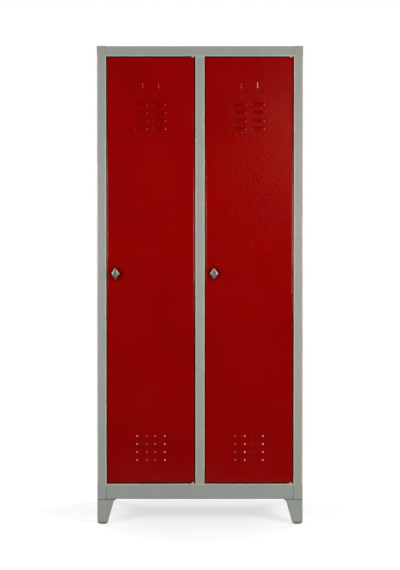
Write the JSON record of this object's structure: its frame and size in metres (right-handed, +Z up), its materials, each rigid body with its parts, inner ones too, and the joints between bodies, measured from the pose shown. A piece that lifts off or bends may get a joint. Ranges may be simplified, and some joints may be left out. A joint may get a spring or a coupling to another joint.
{
  "type": "clothing locker",
  "caption": "Free-standing sheet-steel clothing locker with louvred doors, diamond turn knobs, hat shelves and hanger rails, on tapered feet.",
  "frame": {"origin": "on the floor, under the middle of the whole outline, knobs included", "axes": "+X to the right seen from the front, +Y to the back, +Z up; the doors face -Y"},
  "size_m": [0.796, 0.525, 1.85],
  "materials": {
    "grey_enamel": "semi-gloss",
    "red_enamel": "gloss",
    "cast_zinc": "satin",
    "plated_steel": "satin",
    "nylon": "matt",
    "rubber": "matt"
  },
  "bodies": {
    "carcass": {"left_post": "grey_enamel", "right_post": "grey_enamel", "left_side_panel": "grey_enamel", "right_side_panel": "grey_enamel", "left_base_rail": "grey_enamel", "right_base_rail": "grey_enamel", "centre_post": "grey_enamel", "centre_post_backing": "grey_enamel", "centre_partition": "grey_enamel", "top_rail": "grey_enamel", "bottom_rail": "grey_enamel", "top_panel": "grey_enamel", "floor_panel": "grey_enamel", "back_panel": "grey_enamel", "left_hat_shelf": "grey_enamel", "right_hat_shelf": "grey_enamel", "left_hanger_rail": "plated_steel", "right_hanger_rail": "plated_steel", "hanger_rail_sockets": "nylon", "front_left_foot": "grey_enamel", "front_right_foot": "grey_enamel", "rear_left_foot": "grey_enamel", "rear_right_foot": "grey_enamel", "top_hinge_bushes": "nylon", "bottom_hinge_bushes": "nylon", "door_buffers": "rubber"},
    "left_door": {"left_door_panel": "red_enamel", "left_door_stiffener": "red_enamel", "left_top_pivot": "plated_steel", "left_bottom_pivot": "plated_steel", "left_towel_rail": "red_enamel", "left_latch_bush": "plated_steel", "left_latch_bush_nut": "plated_steel"},
    "left_latch": {"left_knob": "cast_zinc", "left_latch_spindle": "plated_steel", "left_latch_cam": "plated_steel", "left_cam_nut": "plated_steel"},
    "right_door": {"right_door_panel": "red_enamel", "right_door_stiffener": "red_enamel", "right_top_pivot": "plated_steel", "right_bottom_pivot": "plated_steel", "right_towel_rail": "red_enamel", "right_latch_bush": "plated_steel", "right_latch_bush_nut": "plated_steel"},
    "right_latch": {"right_knob": "cast_zinc", "right_latch_spindle": "plated_steel", "right_latch_cam": "plated_steel", "right_cam_nut": "plated_steel"}
  },
  "joints": [
    {"name": "left_door_hinge", "type": "hinge", "parent": "carcass", "child": "left_door", "pos_m": [-0.028, -0.2295, 0.9855], "axis": [0, 0, 1], "range_deg": [0, 105]},
    {"name": "left_knob_turn", "type": "hinge", "parent": "left_door", "child": "left_latch", "pos_m": [-0.326, -0.2365, 0.973], "axis": [0, -1, 0], "range_deg": [0, 90]},
    {"name": "right_door_hinge", "type": "hinge", "parent": "carcass", "child": "right_door", "pos_m": [0.352, -0.2295, 0.9855], "axis": [0, 0, 1], "range_deg": [0, 105]},
    {"name": "right_knob_turn", "type": "hinge", "parent": "right_door", "child": "right_latch", "pos_m": [0.054, -0.2365, 0.973], "axis": [0, -1, 0], "range_deg": [0, 90]}
  ]
}
